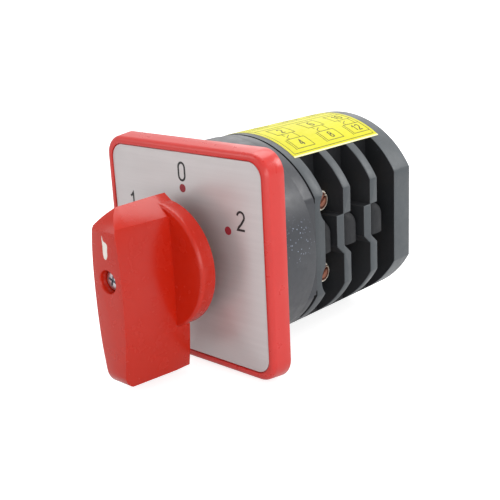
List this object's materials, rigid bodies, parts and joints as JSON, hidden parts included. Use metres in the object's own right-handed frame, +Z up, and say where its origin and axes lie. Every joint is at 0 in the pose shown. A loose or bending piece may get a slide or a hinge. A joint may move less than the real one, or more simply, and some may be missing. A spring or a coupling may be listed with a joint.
{
  "type": "rotary transfer switch",
  "caption": "Panel-mount rotary cam transfer switch: square bezel with legend plate, pointer handle turning left and right of centre, and stacked contact decks with screw terminals.",
  "frame": {"origin": "on the spindle axis, in the rear plane of the bezel, where the switch seats on the panel", "axes": "+Y along the spindle from the handle to the end plate, +Z up (position 0 of the handle), +X to the right seen from the front"},
  "size_m": [0.0646, 0.1023, 0.0646],
  "materials": {
    "red_plastic": "glossy moulded plastic",
    "white_inlay": "matt paint-filled inlay",
    "screw_steel": "zinc plated steel",
    "legend_metal": "satin aluminium sheet, printed",
    "black_phenolic": "satin moulded phenolic",
    "bush_brass": "turned",
    "spindle_steel": "drawn square bar",
    "cam_plastic": "moulded nylon",
    "slider_plastic": "moulded nylon",
    "spring_steel": "spring steel",
    "contact_brass": "copper alloy with silver contact faces",
    "terminal_brass": "brass plated screws and plates",
    "label_yellow": "printed film"
  },
  "bodies": {
    "stator": {"bezel": "red_plastic", "legend_plate": "legend_metal", "bezel_screws": "screw_steel", "front_housing": "black_phenolic", "front_bush": "bush_brass", "detent_springs": "spring_steel", "end_plate": "black_phenolic", "rear_bush": "bush_brass", "tie_screws": "screw_steel", "wiring_label": "label_yellow", "deck_1": "black_phenolic", "fixed_contacts_1": "contact_brass", "clamp_washers_1": "terminal_brass", "terminal_screws_1": "terminal_brass", "contact_spring_1_upper": "spring_steel", "contact_spring_1_lower": "spring_steel", "deck_2": "black_phenolic", "fixed_contacts_2": "contact_brass", "clamp_washers_2": "terminal_brass", "terminal_screws_2": "terminal_brass", "contact_spring_2_upper": "spring_steel", "contact_spring_2_lower": "spring_steel", "deck_3": "black_phenolic", "fixed_contacts_3": "contact_brass", "clamp_washers_3": "terminal_brass", "terminal_screws_3": "terminal_brass", "contact_spring_3_upper": "spring_steel", "contact_spring_3_lower": "spring_steel"},
    "rotor": {"handle": "red_plastic", "handle_mark": "white_inlay", "handle_screw": "screw_steel", "spindle": "spindle_steel", "retaining_ring": "spring_steel", "detent_wheel": "cam_plastic", "cam_1": "cam_plastic", "cam_2": "cam_plastic", "cam_3": "cam_plastic"},
    "contact_1_upper": {"carrier_1_upper": "slider_plastic", "bridge_1_upper": "contact_brass"},
    "contact_1_lower": {"carrier_1_lower": "slider_plastic", "bridge_1_lower": "contact_brass"},
    "contact_2_upper": {"carrier_2_upper": "slider_plastic", "bridge_2_upper": "contact_brass"},
    "contact_2_lower": {"carrier_2_lower": "slider_plastic", "bridge_2_lower": "contact_brass"},
    "contact_3_upper": {"carrier_3_upper": "slider_plastic", "bridge_3_upper": "contact_brass"},
    "contact_3_lower": {"carrier_3_lower": "slider_plastic", "bridge_3_lower": "contact_brass"}
  },
  "joints": [
    {"name": "handle_turn", "type": "hinge", "parent": "stator", "child": "rotor", "pos_m": [0, 0, 0], "axis": [0, 1, 0], "range_deg": [-60, 60], "deforming": ["detent_springs"]},
    {"name": "contact_1_upper_slide", "type": "slide", "parent": "stator", "child": "contact_1_upper", "axis": [0, 0, 1], "range_m": [-0.0026, 0.0026], "deforming": ["contact_spring_1_upper"]},
    {"name": "contact_1_lower_slide", "type": "slide", "parent": "stator", "child": "contact_1_lower", "axis": [0, 0, 1], "range_m": [-0.0026, 0.0026], "deforming": ["contact_spring_1_lower"]},
    {"name": "contact_2_upper_slide", "type": "slide", "parent": "stator", "child": "contact_2_upper", "axis": [0, 0, 1], "range_m": [-0.0026, 0.0026], "deforming": ["contact_spring_2_upper"]},
    {"name": "contact_2_lower_slide", "type": "slide", "parent": "stator", "child": "contact_2_lower", "axis": [0, 0, 1], "range_m": [-0.0026, 0.0026], "deforming": ["contact_spring_2_lower"]},
    {"name": "contact_3_upper_slide", "type": "slide", "parent": "stator", "child": "contact_3_upper", "axis": [0, 0, 1], "range_m": [-0.0026, 0.0026], "deforming": ["contact_spring_3_upper"]},
    {"name": "contact_3_lower_slide", "type": "slide", "parent": "stator", "child": "contact_3_lower", "axis": [0, 0, 1], "range_m": [-0.0026, 0.0026], "deforming": ["contact_spring_3_lower"]}
  ],
  "couplings": [
    {"joint": "contact_1_upper_slide", "follows": "handle_turn", "m_per_rad": 0.0024},
    {"joint": "contact_1_lower_slide", "follows": "handle_turn", "m_per_rad": 0.0024},
    {"joint": "contact_2_upper_slide", "follows": "handle_turn", "m_per_rad": 0.0024},
    {"joint": "contact_2_lower_slide", "follows": "handle_turn", "m_per_rad": 0.0024},
    {"joint": "contact_3_upper_slide", "follows": "handle_turn", "m_per_rad": 0.0024},
    {"joint": "contact_3_lower_slide", "follows": "handle_turn", "m_per_rad": 0.0024}
  ]
}
